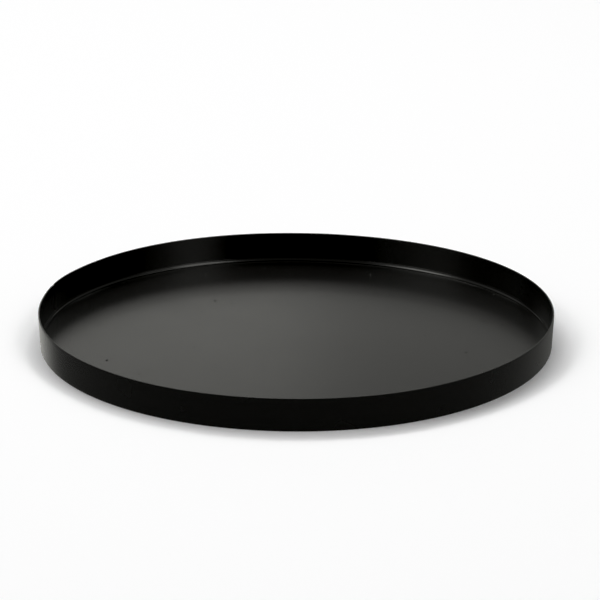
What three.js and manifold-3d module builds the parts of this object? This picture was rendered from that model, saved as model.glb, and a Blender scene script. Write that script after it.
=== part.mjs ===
// Round serving tray of thin sheet steel, fabricated from a flat disc and a rolled wall strip.
// Units are millimetres and +Z is up. The origin is the centre of the underside, which rests
// on the table; the tray is round, so X and Y only fix where the wall's seam lies.

import * as THREE from 'three';
import { mergeVertices } from 'three/addons/utils/BufferGeometryUtils.js';
import Module from 'manifold-3d';

const wasm = await Module();
wasm.setup();

// Driving dimensions
const RIM_DIAMETER = 400;      // outside, at the rim
const TRAY_HEIGHT = 25;        // table to rim
const WALL_LEAN = 1;           // how much further out the rim stands than the foot of the wall
const SHEET = 1;               // thickness of the disc and of the wall strip
const FIT_GAP = 0.3;           // clearance between separate pieces
const BEAD_LEG = 2.4;          // the inside corner bead, along the floor and up the wall
const BEAD_HOLLOW = 0.35;      // how far the bead's face dips below a straight line between its toes
const SEAM_AZIMUTH = 164.5;    // degrees from +X towards +Y
const SEAM_OPENING = 2.2;      // distance between the two ends of the wall strip
const SEAM_CROWN = 0.25;       // how far the seam weld stands proud of the outside of the wall

const ROUND_SEGMENTS = 144;
const BEAD_FACE_STEPS = 4;

// Worked-out dimensions
const rimRadius = RIM_DIAMETER / 2;
const footRadius = rimRadius - WALL_LEAN;
const leanAngle = Math.atan2(WALL_LEAN, TRAY_HEIGHT);
const discRadius = footRadius - SHEET - FIT_GAP;
const wallInnerRadius = (z) => footRadius - SHEET + WALL_LEAN * z / TRAY_HEIGHT;

// Materials: the whole tray is coated in the same satin black powder
const coat = (roughness) => new THREE.MeshStandardMaterial({
  color: 0x0d0d0d,
  roughness,
  metalness: 0.1,
});

// A solid of revolution about +Z, from an outline of [radius, height] pairs
function turned(outline) {
  const points = outline.map(([radius, height]) => new THREE.Vector2(radius, height));
  const geometry = new THREE.LatheGeometry(points, ROUND_SEGMENTS);
  geometry.rotateX(Math.PI / 2);
  return geometry;
}

function toSolid(geometry) {
  const bare = geometry.clone();
  bare.deleteAttribute('normal');
  bare.deleteAttribute('uv');
  const merged = mergeVertices(bare, 1e-4);
  const mesh = new wasm.Mesh({
    numProp: 3,
    vertProperties: Float32Array.from(merged.attributes.position.array),
    triVerts: Uint32Array.from(merged.index.array),
  });
  return new wasm.Manifold(mesh);
}

function toGeometry(solid) {
  const mesh = solid.getMesh();
  const geometry = new THREE.BufferGeometry();
  geometry.setAttribute('position', new THREE.BufferAttribute(mesh.vertProperties, 3));
  geometry.setIndex(new THREE.BufferAttribute(mesh.triVerts, 1));
  geometry.computeVertexNormals();
  return geometry;
}

// The flat floor, set inside the foot of the wall
function baseDisc() {
  const outline = [[0, 0], [discRadius, 0], [discRadius, SHEET], [0, SHEET]];
  return turned(outline);
}

// The wall: a full ring with a slot cut through it where the strip's two ends meet
function wallBand() {
  const ring = toSolid(turned([
    [footRadius - SHEET, 0],
    [footRadius, 0],
    [rimRadius, TRAY_HEIGHT],
    [rimRadius - SHEET, TRAY_HEIGHT],
    [footRadius - SHEET, 0],
  ]));
  const cutterDepth = 8 * SHEET;
  const cutter = new THREE.BoxGeometry(cutterDepth, SEAM_OPENING, 2 * TRAY_HEIGHT);
  cutter.translate(footRadius, 0, TRAY_HEIGHT / 2);
  cutter.rotateZ(THREE.MathUtils.degToRad(SEAM_AZIMUTH));
  return toGeometry(ring.subtract(toSolid(cutter)));
}

// The butt weld that closes the strip: flat inside the tray, slightly crowned outside,
// lying along the slope of the wall. Its own frame has +X outwards and +Y along the wall.
function seamWeld() {
  const halfWidth = SEAM_OPENING / 2 - FIT_GAP;
  const halfSheet = SHEET / 2;
  const section = new THREE.Shape();
  section.moveTo(-halfSheet, halfWidth);
  section.lineTo(-halfSheet, -halfWidth);
  section.lineTo(halfSheet, -halfWidth);
  section.quadraticCurveTo(halfSheet + 2 * SEAM_CROWN, 0, halfSheet, halfWidth);
  section.closePath();
  const length = TRAY_HEIGHT / Math.cos(leanAngle) - 2 * FIT_GAP;
  const geometry = new THREE.ExtrudeGeometry(section, {
    depth: length,
    bevelEnabled: false,
    curveSegments: 6,
  });
  geometry.translate(0, 0, -length / 2);
  return geometry;
}

// The continuous bead in the inside corner: it lies on the disc and runs up the wall,
// with a face that dips a little between its toes
function cornerBead() {
  const foot = SHEET;
  const wallAt = (z) => wallInnerRadius(z) - FIT_GAP;
  const floorToe = new THREE.Vector2(wallAt(foot) - BEAD_LEG, foot);
  const wallToe = new THREE.Vector2(wallAt(foot + BEAD_LEG), foot + BEAD_LEG);
  const dip = new THREE.Vector2(1, -1).normalize().multiplyScalar(2 * BEAD_HOLLOW);
  const middle = floorToe.clone().add(wallToe).multiplyScalar(0.5).add(dip);
  const face = new THREE.QuadraticBezierCurve(wallToe, middle, floorToe);
  const outline = face.getPoints(BEAD_FACE_STEPS).map((p) => [p.x, p.y]);
  outline.push([wallAt(foot), foot]);
  outline.push([wallToe.x, wallToe.y]);
  return turned(outline);
}

function named(name, geometry, roughness) {
  const mesh = new THREE.Mesh(geometry, coat(roughness));
  mesh.name = name;
  return mesh;
}

const tray = new THREE.Group();
tray.add(named('base_disc', baseDisc(), 0.42));
tray.add(named('wall_band', wallBand(), 0.38));
tray.add(named('corner_bead', cornerBead(), 0.34));

const seamPlace = new THREE.Group();
seamPlace.rotation.z = THREE.MathUtils.degToRad(SEAM_AZIMUTH);
const seam = named('wall_seam_weld', seamWeld(), 0.4);
seam.position.set(wallInnerRadius(TRAY_HEIGHT / 2) + SHEET / 2, 0, TRAY_HEIGHT / 2);
seam.rotation.y = leanAngle;
seamPlace.add(seam);
tray.add(seamPlace);

export default tray;
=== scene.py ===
"""Looks of a round serving tray: black powder-coated sheet steel, a flat disc inside a low rolled
wall, with a butt weld that closes the wall and a small bead in the inside corner.

Every piece is a fine mesh made here, in metres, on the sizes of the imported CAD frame. The tray is
handmade: its wall is a little out of round, and its weld, bead and coat are a little uneven.
"""

import math
import random

import bpy
from mathutils import Matrix, Vector, noise


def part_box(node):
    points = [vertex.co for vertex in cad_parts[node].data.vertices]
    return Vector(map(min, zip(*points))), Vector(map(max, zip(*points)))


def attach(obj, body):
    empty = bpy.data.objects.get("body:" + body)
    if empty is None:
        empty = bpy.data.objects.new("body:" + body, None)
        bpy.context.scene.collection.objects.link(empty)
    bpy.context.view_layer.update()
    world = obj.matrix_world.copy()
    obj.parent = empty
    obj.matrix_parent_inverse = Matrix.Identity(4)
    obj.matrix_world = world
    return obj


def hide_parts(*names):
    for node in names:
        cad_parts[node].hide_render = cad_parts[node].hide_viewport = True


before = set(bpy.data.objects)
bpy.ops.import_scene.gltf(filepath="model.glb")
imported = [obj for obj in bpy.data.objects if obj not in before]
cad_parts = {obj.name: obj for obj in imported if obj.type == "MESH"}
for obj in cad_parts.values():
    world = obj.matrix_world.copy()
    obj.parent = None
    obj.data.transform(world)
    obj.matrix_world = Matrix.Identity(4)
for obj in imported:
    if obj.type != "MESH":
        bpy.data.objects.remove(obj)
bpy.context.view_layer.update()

MM = 0.001

# ---------------------------------------------------------------- sizes, from the frame


def node_radius(node, low, high):
    """The largest distance from the tray's axis of a node's corners between two heights."""
    corners = [v.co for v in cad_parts[node].data.vertices]
    return max(math.hypot(c.x, c.y) for c in corners if low <= c.z <= high)


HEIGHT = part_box("wall_band")[1].z
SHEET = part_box("base_disc")[1].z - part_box("base_disc")[0].z
RIM_RADIUS = node_radius("wall_band", 0.9 * HEIGHT, 1.1 * HEIGHT)
FOOT_RADIUS = node_radius("wall_band", -0.1 * HEIGHT, 0.1 * HEIGHT)
LEAN = RIM_RADIUS - FOOT_RADIUS
FOOT_INSIDE = FOOT_RADIUS - SHEET

seam_low, seam_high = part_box("wall_seam_weld")
seam_centre = (seam_low + seam_high) / 2
SEAM_AZIMUTH = math.atan2(seam_centre.y, seam_centre.x)

# ---------------------------------------------------------------- the hand of the maker

# Lobes round the rim, how far each stands out, and the azimuth of the first, in degrees.
OUT_OF_ROUND = ((3, 1.35 * MM, 22.7), (4, 0.5 * MM, 34.6))

SEAM_HALF_WIDTH = 1.1 * MM
SEAM_DIP = 0.55 * MM           # the weld stops a little short of the rim
SEAM_DIP_REACH = 2.0 * MM

# The rolled strip keeps a slight bulge near its seam.
BULGE = 1.2 * MM
BULGE_FROM_SEAM = -15 * MM
BULGE_SPREAD = 24 * MM


def out_of_round(azimuth):
    """How far the wall stands outside a true circle."""
    return sum(
        height * math.cos(lobes * (azimuth - math.radians(first)))
        for lobes, height, first in OUT_OF_ROUND
    )


def bell(distance, spread):
    """A smooth hump, 1 at its middle."""
    return math.exp(-0.5 * (distance / spread) ** 2)


def from_seam(azimuth):
    """Distance along the wall from its seam, positive towards the front left."""
    turn = (azimuth - SEAM_AZIMUTH + math.pi) % (2 * math.pi) - math.pi
    return turn * RIM_RADIUS


def seam_bulge(azimuth):
    """How far the sprung end of the strip stands out."""
    return BULGE * bell(from_seam(azimuth) - BULGE_FROM_SEAM, BULGE_SPREAD)


def rim_dip(azimuth):
    """How far the rim lies below its full height, which is only beside the seam."""
    return SEAM_DIP * bell(from_seam(azimuth), SEAM_DIP_REACH)


def wall_inside(azimuth, z):
    """Radius of the inside of the wall at a height."""
    return FOOT_INSIDE + LEAN * z / HEIGHT + out_of_round(azimuth) + seam_bulge(azimuth)


def ripple(azimuth, wavelength, seed):
    """Smooth noise that closes on itself round the tray, from -1 to 1."""
    point = Vector((math.cos(azimuth), math.sin(azimuth), 0)) * (RIM_RADIUS / wavelength)
    return noise.noise(point + Vector((seed, 0, seed)))


# ---------------------------------------------------------------- mesh tools


def make_piece(name, points, faces, node, material):
    """A visible piece that stands for a CAD node. Its faces are smooth, apart from the end caps
    and the undersides of nibs, which have more than four corners."""
    mesh = bpy.data.meshes.new(name)
    mesh.from_pydata(points, [], faces)
    mesh.polygons.foreach_set("use_smooth", [len(face) < 5 for face in faces])
    mesh.validate()
    mesh.materials.append(material)
    piece = bpy.data.objects.new(name, mesh)
    bpy.context.scene.collection.objects.link(piece)
    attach(piece, "root")
    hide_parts(node)


def sweep(sections, closed):
    """Skins a list of closed sections, each a list of the same number of points.
    Where the sweep isn't closed, its two ends are capped."""
    count = len(sections[0])
    points = [point for section in sections for point in section]
    spans = len(sections) if closed else len(sections) - 1
    faces = []
    for i in range(spans):
        here = i * count
        there = (i + 1) % len(sections) * count
        for j in range(count):
            k = (j + 1) % count
            faces.append((here + j, there + j, there + k, here + k))
    if not closed:
        last = (len(sections) - 1) * count
        faces.append(tuple(range(count)))
        faces.append(tuple(last + j for j in reversed(range(count))))
    return points, faces


def polar(azimuth, radius, z):
    return (radius * math.cos(azimuth), radius * math.sin(azimuth), z)


def strip_outline(height, thickness, edge, side_steps, edge_steps):
    """Section of the strip as pairs, outward from its inner face and up from its foot, with its
    four corners rounded. It runs up the outside, over the rim, down the inside and back."""
    # The centre of each rounding, and the direction in degrees in which it starts.
    corners = (
        (thickness - edge, edge, -90),
        (thickness - edge, height - edge, 0),
        (edge, height - edge, 90),
        (edge, edge, 180),
    )
    outline = []
    for number, (across, up, start) in enumerate(corners):
        for step in range(edge_steps + 1):
            angle = math.radians(start + 90 * step / edge_steps)
            outline.append((across + edge * math.cos(angle), up + edge * math.sin(angle)))
        if number in (0, 2):
            face, begin = outline[-1]
            rise = (height - edge if number == 0 else edge) - begin
            outline += [(face, begin + rise * s / side_steps) for s in range(1, side_steps)]
    return outline


# ---------------------------------------------------------------- materials


def links(tree, *pairs):
    """Joins sockets, given as pairs of an output and an input."""
    for source, target in pairs:
        tree.links.new(source, target)


def node_of(tree, kind, **inputs):
    """A new node. An underscore in the name of an input stands for a space."""
    made = tree.nodes.new(kind)
    for name, value in inputs.items():
        made.inputs[name.replace("_", " ")].default_value = value
    return made


COAT_COLOUR = (0.0040, 0.0040, 0.0039, 1)
COAT_IOR = 1.5
ROUGHNESS_DRIFT = 0.008
DRIFT_SIZE = 45 * MM           # how large the duller and glossier patches are


def powder_coat(name, roughness, peel, peel_depth):
    """Satin black powder coat: a gloss that drifts a little, and a fine orange peel of a given
    width and depth."""
    material = bpy.data.materials.new(name)
    material.use_nodes = True
    tree = material.node_tree
    shader = tree.nodes["Principled BSDF"]
    shader.inputs["Base Color"].default_value = COAT_COLOUR
    shader.inputs["IOR"].default_value = COAT_IOR
    place = tree.nodes.new("ShaderNodeTexCoord").outputs["Object"]

    # The noise lies mostly between 0.3 and 0.7.
    clouds = node_of(tree, "ShaderNodeTexNoise", Scale=1 / DRIFT_SIZE, Detail=3, Roughness=0.55)
    gloss = node_of(tree, "ShaderNodeMapRange", From_Min=0.3, From_Max=0.7)
    gloss.inputs["To Min"].default_value = roughness - ROUGHNESS_DRIFT
    gloss.inputs["To Max"].default_value = roughness + ROUGHNESS_DRIFT

    orange_peel = node_of(tree, "ShaderNodeTexNoise", Scale=1 / peel, Detail=2, Roughness=0.45)
    film = node_of(tree, "ShaderNodeBump", Strength=1, Distance=peel_depth)
    links(
        tree,
        (place, clouds.inputs["Vector"]),
        (clouds.outputs["Fac"], gloss.inputs["Value"]),
        (gloss.outputs[0], shader.inputs["Roughness"]),
        (place, orange_peel.inputs["Vector"]),
        (orange_peel.outputs["Fac"], film.inputs["Height"]),
        (film.outputs["Normal"], shader.inputs["Normal"]),
    )
    return material


floor_coat = powder_coat("floor_coat", roughness=0.26, peel=1.6 * MM, peel_depth=0.003 * MM)
wall_coat = powder_coat("wall_coat", roughness=0.27, peel=1.6 * MM, peel_depth=0.003 * MM)
bead_coat = powder_coat("bead_coat", roughness=0.19, peel=1.1 * MM, peel_depth=0.004 * MM)
seam_coat = powder_coat("seam_coat", roughness=0.29, peel=1.2 * MM, peel_depth=0.004 * MM)

# ---------------------------------------------------------------- pieces

WALL_STEPS = 1440
STRIP_EDGE = 0.36 * MM         # radius of its corners, rounded by the coat


def on_wall(azimuth, across, up):
    """A point of the wall from one of the strip's section."""
    z = up * (1 - rim_dip(azimuth) / HEIGHT)
    return polar(azimuth, wall_inside(azimuth, z) + across, z)


def build_wall():
    """The strip, rolled into a ring that stays open at the seam."""
    outline = strip_outline(HEIGHT, SHEET, STRIP_EDGE, side_steps=10, edge_steps=5)
    end = SEAM_HALF_WIDTH / RIM_RADIUS
    sections = []
    for step in range(WALL_STEPS + 1):
        azimuth = SEAM_AZIMUTH + end + (2 * math.pi - 2 * end) * step / WALL_STEPS
        sections.append([on_wall(azimuth, *point) for point in outline])
    points, faces = sweep(sections, closed=False)
    make_piece("rolled_wall", points, faces, "wall_band", wall_coat)


SEAM_STEPS = 12
SEAM_TUCK = 0.25 * MM          # how far the weld runs into each end of the strip
SEAM_CROWN_OUT = 0.14 * MM
SEAM_CROWN_IN = 0.006 * MM
SEAM_WANDER = 0.5              # how much its crown varies along it, as a share of the crown
SEAM_RIPPLE = 1.6 * MM         # and over what length


def build_seam():
    """The dressed butt weld: it fills the gap in the strip and stands a hair proud of it."""
    outline = strip_outline(HEIGHT, SHEET, STRIP_EDGE, side_steps=60, edge_steps=5)
    half = SEAM_HALF_WIDTH + SEAM_TUCK
    sections = []
    for step in range(SEAM_STEPS + 1):
        across_weld = 2 * step / SEAM_STEPS - 1
        azimuth = SEAM_AZIMUTH + across_weld * half / RIM_RADIUS
        crown = 1 - across_weld ** 2 * (half / SEAM_HALF_WIDTH) ** 2
        section = []
        for across, up in outline:
            wander = 1 + SEAM_WANDER * noise.noise(Vector((up / SEAM_RIPPLE, across_weld, 0)))
            outside = across > SHEET / 2
            proud = (SEAM_CROWN_OUT if outside else -SEAM_CROWN_IN) * crown * wander
            section.append(on_wall(azimuth, across + proud, up))
        sections.append(section)
    points, faces = sweep(sections, closed=False)
    make_piece("seam_weld", points, faces, "wall_seam_weld", seam_coat)


BEAD_STEPS = 1440
BEAD_SIZE = 3.6 * MM           # radius of its hollow face
BEAD_LIP = 0.35 * MM           # the upright edge in which the face ends on the floor
BEAD_TOE_TILT = 42             # degrees that its face has turned upwards at its lower end
BEAD_FACE_STEPS = 10
BEAD_BURIED = 0.12 * MM        # how far the bead reaches into the disc and the wall
# How its size wanders: the share, over what length, and the seed of the noise.
BEAD_WANDERS = ((0.10, 40 * MM, 3.1), (0.02, 9 * MM, 8.4))
LAP_HEIGHT = 0.006 * MM        # the fine ripple that the welder's hand leaves along it
LAP_COUNT = 400
LAP_DRIFT = 2.0                # how far the laps are off a regular beat, in radians
LAP_DRIFT_LENGTH = 25 * MM
LAP_SEED = 5.7


def bead_section(azimuth):
    """A hollow fillet in the inside corner: it leaves the wall smoothly and ends on the floor in
    a low upright lip. Its size wanders, and fine laps run along it."""
    wander = 1
    for share, length, seed in BEAD_WANDERS:
        wander += share * ripple(azimuth, length, seed)
    size = BEAD_SIZE * wander
    toe = math.radians(BEAD_TOE_TILT)
    beat = azimuth * LAP_COUNT + LAP_DRIFT * ripple(azimuth, LAP_DRIFT_LENGTH, LAP_SEED)
    lap = LAP_HEIGHT * math.cos(beat)
    section = []
    for step in range(BEAD_FACE_STEPS + 1):
        turn = toe * step / BEAD_FACE_STEPS
        inset = size * (1 - math.cos(turn)) + lap
        z = SHEET + BEAD_LIP + size * (math.sin(toe) - math.sin(turn))
        section.append(polar(azimuth, wall_inside(azimuth, z) - inset, z))
    foot = wall_inside(azimuth, SHEET)
    top = SHEET + BEAD_LIP + size * math.sin(toe)
    section.append(polar(azimuth, foot - size * (1 - math.cos(toe)) - lap, SHEET - BEAD_BURIED))
    section.append(polar(azimuth, foot + BEAD_BURIED, SHEET - BEAD_BURIED))
    section.append(polar(azimuth, wall_inside(azimuth, top) + BEAD_BURIED, top))
    return section


def build_bead():
    """The bead runs all round without a break."""
    sections = [bead_section(2 * math.pi * step / BEAD_STEPS) for step in range(BEAD_STEPS)]
    points, faces = sweep(sections, closed=True)
    make_piece("inside_corner_bead", points, faces, "corner_bead", bead_coat)


DISC_STEPS = 720
DISC_RINGS = 24
DISC_EDGE = 0.3 * MM           # radius of its sheared and coated edges
DISC_EDGE_STEPS = 4
DISC_FIT = 0.04 * MM           # hairline between the disc and the wall


def disc_column(azimuth):
    """Points from the centre of the underside, round the edge and back along the top."""
    flat = wall_inside(azimuth, 0) - DISC_FIT - DISC_EDGE
    rings = [flat * ring / DISC_RINGS for ring in range(1, DISC_RINGS)]
    column = [polar(azimuth, radius, 0) for radius in rings]
    for centre, start in ((DISC_EDGE, -90), (SHEET - DISC_EDGE, 0)):
        for step in range(DISC_EDGE_STEPS + 1):
            angle = math.radians(start + 90 * step / DISC_EDGE_STEPS)
            radius = flat + DISC_EDGE * math.cos(angle)
            column.append(polar(azimuth, radius, centre + DISC_EDGE * math.sin(angle)))
    column += [polar(azimuth, radius, SHEET) for radius in reversed(rings)]
    return column


NIB_COUNT = 70
NIB_RADII = (0.4 * MM, 1.2 * MM)
NIB_RARITY = 4                 # the higher, the fewer of them are large
NIB_RISE = 0.75                # height of a nib as a share of its radius
NIB_SUNK = 0.1                 # how much of that height lies below the floor
NIB_SIDES = 12
NIB_RINGS = 4
NIB_SEED = 12
# Drops of weld spatter: azimuth in degrees, distance from the wall, and radius.
SPATTER = ((137.3, 4.2 * MM, 1.2 * MM), (135.7, 3.8 * MM, 1.1 * MM))


def nibs():
    """Azimuth, distance from the axis and radius of every grain in the floor's coat: those that
    are scattered over it, and the drops of spatter beside the bead."""
    chance = random.Random(NIB_SEED)
    smallest, largest = NIB_RADII
    found = []
    for _ in range(NIB_COUNT):
        azimuth = chance.uniform(0, 2 * math.pi)
        away = math.sqrt(chance.random()) * (FOOT_INSIDE - BEAD_SIZE)
        radius = smallest + (largest - smallest) * chance.random() ** NIB_RARITY
        found.append((azimuth, away, radius))
    for azimuth, from_wall, radius in SPATTER:
        azimuth = math.radians(azimuth)
        found.append((azimuth, wall_inside(azimuth, SHEET) - from_wall, radius))
    return found


def add_nib(points, faces, azimuth, away, radius):
    """A low dome on the disc, with its foot sunk into it."""
    x, y, _ = polar(azimuth, away, 0)
    first = len(points)
    for ring in range(NIB_RINGS):
        climb = math.radians(90 * ring / NIB_RINGS)
        across = radius * math.cos(climb)
        z = SHEET + radius * NIB_RISE * (math.sin(climb) - NIB_SUNK)
        for side in range(NIB_SIDES):
            turn = 2 * math.pi * side / NIB_SIDES
            points.append((x + across * math.cos(turn), y + across * math.sin(turn), z))
    points.append((x, y, SHEET + (1 - NIB_SUNK) * radius * NIB_RISE))
    for ring in range(NIB_RINGS - 1):
        low = first + ring * NIB_SIDES
        high = low + NIB_SIDES
        for side in range(NIB_SIDES):
            after = (side + 1) % NIB_SIDES
            faces.append((low + side, low + after, high + after, high + side))
    peak = len(points) - 1
    low = peak - NIB_SIDES
    for side in range(NIB_SIDES):
        faces.append((low + side, low + (side + 1) % NIB_SIDES, peak))
    faces.append(tuple(first + side for side in reversed(range(NIB_SIDES))))


def build_disc():
    """The floor: a flat disc with eased edges, whose outline follows the wall, and its nibs."""
    columns = [disc_column(2 * math.pi * step / DISC_STEPS) for step in range(DISC_STEPS)]
    count = len(columns[0])
    points = [point for column in columns for point in column]
    points += [(0, 0, 0), (0, 0, SHEET)]
    under, over = len(points) - 2, len(points) - 1
    faces = []
    for i in range(DISC_STEPS):
        here = i * count
        there = (i + 1) % DISC_STEPS * count
        faces.append((under, there, here))
        faces += [(here + j, there + j, there + j + 1, here + j + 1) for j in range(count - 1)]
        faces.append((over, here + count - 1, there + count - 1))
    for nib in nibs():
        add_nib(points, faces, *nib)
    make_piece("tray_floor", points, faces, "base_disc", floor_coat)


build_disc()
build_wall()
build_seam()
build_bead()

# ---------------------------------------------------------------- studio

TABLE_HALF = 3.5               # half the table's width
TABLE_GAP = 0.05 * MM          # keeps the table clear of the tray's underside
TABLE_COLOUR = (0.92, 0.92, 0.968, 1)   # a little blue, which cancels the tint of the lights
TABLE_ROUGHNESS = 0.9

LIGHT_DISTANCE = 4.0
LIGHT_TINT = (1, 1, 0.95)

ROOM_LEVEL = 0.16
# The bright ground that the coat mirrors: azimuth, elevation and reach in degrees, brightness.
GLOWS = ((-15, -19.5, 28, 0.65), (32, -19.5, 34, 0.045))

# Name, azimuth, elevation, how wide and how tall in degrees, and brightness.
SOFTBOXES = (
    ("backdrop_low", 0, 12, 75, 8, 0.56),
    ("backdrop_high", 0, 19, 75, 8, 0.19),
    ("backdrop_left", -13, 20, 26, 12, 0.38),
    ("bank", -16, 62, 46, 18, 4.2),
    ("bank_wide", 0, 47, 80, 14, 0.7),
    ("overhead", 0, 88, 38, 32, 0.9),
    ("side_left", -90, 58, 30, 30, 0.8),
    ("side_right", 90, 58, 30, 30, 0.9),
    ("wing_left", -75, 20, 45, 26, 0.25),
    ("wing_right", 70, 20, 55, 26, 0.07),
    ("front_right", 133, 18, 22, 20, 1.6),
    ("front_right_high", 133, 40, 22, 20, 2.9),
    ("front_right_side", 112, 18, 16, 20, 0.5),
    ("front_left", -113, 18, 24, 20, 0.9),
    ("front_left_high", -113, 40, 24, 20, 3.2),
    ("front_left_near", -135, 18, 18, 20, 0.65),
)


def build_table():
    """A pale matt table. The coat doesn't mirror it: the glows of the room stand in for it."""
    mesh = bpy.data.meshes.new("table")
    corners = [(TABLE_HALF * x, TABLE_HALF * y, 0) for x, y in ((-1, -1), (1, -1), (1, 1), (-1, 1))]
    mesh.from_pydata(corners, [], [(0, 1, 2, 3)])
    table = bpy.data.objects.new("table", mesh)
    table.location.z = -TABLE_GAP
    bpy.context.scene.collection.objects.link(table)
    material = bpy.data.materials.new("pale_table")
    material.use_nodes = True
    shader = material.node_tree.nodes["Principled BSDF"]
    shader.inputs["Base Color"].default_value = TABLE_COLOUR
    shader.inputs["Roughness"].default_value = TABLE_ROUGHNESS
    shader.inputs["Specular IOR Level"].default_value = 0.0
    mesh.materials.append(material)
    table.visible_glossy = False


def towards(azimuth, elevation):
    """The direction from the tray to a place given in degrees: azimuth from the back (+Y),
    positive to the right."""
    a, e = math.radians(azimuth), math.radians(elevation)
    return Vector((math.sin(a) * math.cos(e), math.cos(a) * math.cos(e), math.sin(e)))


def softbox(name, azimuth, elevation, wide, tall, brightness):
    """A soft light aimed at the tray. All angles are in degrees as seen from the tray: where
    the light stands, from the back (+Y) and positive to the right, and how large it looks.
    A brightness of 1 is that of a white page in the picture."""
    away = towards(azimuth, elevation)
    light = bpy.data.lights.new(name, "AREA")
    light.shape = "RECTANGLE"
    light.size = 2 * LIGHT_DISTANCE * math.tan(math.radians(wide / 2))
    light.size_y = 2 * LIGHT_DISTANCE * math.tan(math.radians(tall / 2))
    light.color = LIGHT_TINT
    light.energy = brightness * math.pi * light.size * light.size_y
    lamp = bpy.data.objects.new(name, light)
    lamp.location = away * LIGHT_DISTANCE
    lamp.visible_camera = False
    lamp.rotation_euler = away.to_track_quat("Z", "Y").to_euler()
    bpy.context.scene.collection.objects.link(lamp)


def build_world(level):
    """A dim, even room that the camera sees as white. Low behind the tray it glows, as the
    bright ground there does in the coat of the outer wall."""
    world = bpy.data.worlds.new("studio")
    world.use_nodes = True
    tree = world.node_tree
    place = tree.nodes.new("ShaderNodeTexCoord").outputs["Generated"]
    room = node_of(tree, "ShaderNodeValue")
    room.outputs[0].default_value = level
    for azimuth, elevation, reach, brightness in GLOWS:
        nearness = tree.nodes.new("ShaderNodeVectorMath")
        nearness.operation = "DOT_PRODUCT"
        nearness.inputs[1].default_value = towards(azimuth, elevation)
        glow = node_of(tree, "ShaderNodeMapRange", From_Min=math.cos(math.radians(reach)))
        glow.inputs["To Max"].default_value = brightness
        total = tree.nodes.new("ShaderNodeMath")
        links(
            tree,
            (place, nearness.inputs[0]),
            (nearness.outputs["Value"], glow.inputs["Value"]),
            (room.outputs[0], total.inputs[0]),
            (glow.outputs[0], total.inputs[1]),
        )
        room = total
    seen = tree.nodes.new("ShaderNodeLightPath").outputs["Is Camera Ray"]
    strength = node_of(tree, "ShaderNodeMapRange", To_Max=1.0)
    links(
        tree,
        (seen, strength.inputs["Value"]),
        (room.outputs[0], strength.inputs["To Min"]),
        (strength.outputs[0], tree.nodes["Background"].inputs["Strength"]),
    )
    tree.nodes["Background"].inputs["Color"].default_value = (*LIGHT_TINT, 1)
    bpy.context.scene.world = world
    # The room is seen and mirrored, and the softboxes alone light what is matt.
    world.cycles_visibility.diffuse = False


build_table()
build_world(ROOM_LEVEL)
for box in SOFTBOXES:
    softbox(*box)

# ---------------------------------------------------------------- camera

# The place, aim, roll and lens that lay the tray's outline on the photo's.
CAMERA_PLACE = Vector((0, -1.8128, 0.6351))
CAMERA_AIM = Vector((0.0034, 0.0925, 0))
CAMERA_ROLL = math.radians(0.28)
CAMERA_LENS = 147.87

# The photo's own grading: its darkest tones are crushed and its ground is whitened.
BLACK_POINT = 0.0055           # below it all is black
# Scene brightness and what it is lifted to: the dark coat is left alone, the ground goes white.
LIFTED_TONES = ((0.12, 0.12), (0.3, 0.335), (0.52, 0.62), (0.78, 1))

camera = bpy.data.objects.new("camera", bpy.data.cameras.new("camera"))
camera.data.lens = CAMERA_LENS
camera.location = CAMERA_PLACE
look = (CAMERA_AIM - CAMERA_PLACE).to_track_quat("-Z", "Y").to_matrix().to_4x4()
camera.rotation_euler = (look @ Matrix.Rotation(CAMERA_ROLL, 4, "Z")).to_euler()
bpy.context.scene.collection.objects.link(camera)
bpy.context.scene.camera = camera
view = bpy.context.scene.view_settings
view.view_transform = "Standard"
view.use_curve_mapping = True
view.curve_mapping.black_level = (BLACK_POINT, BLACK_POINT, BLACK_POINT)
tones = view.curve_mapping.curves[3]
for tone in LIFTED_TONES:
    tones.points.new(*tone).handle_type = "AUTO_CLAMPED"
view.curve_mapping.update()
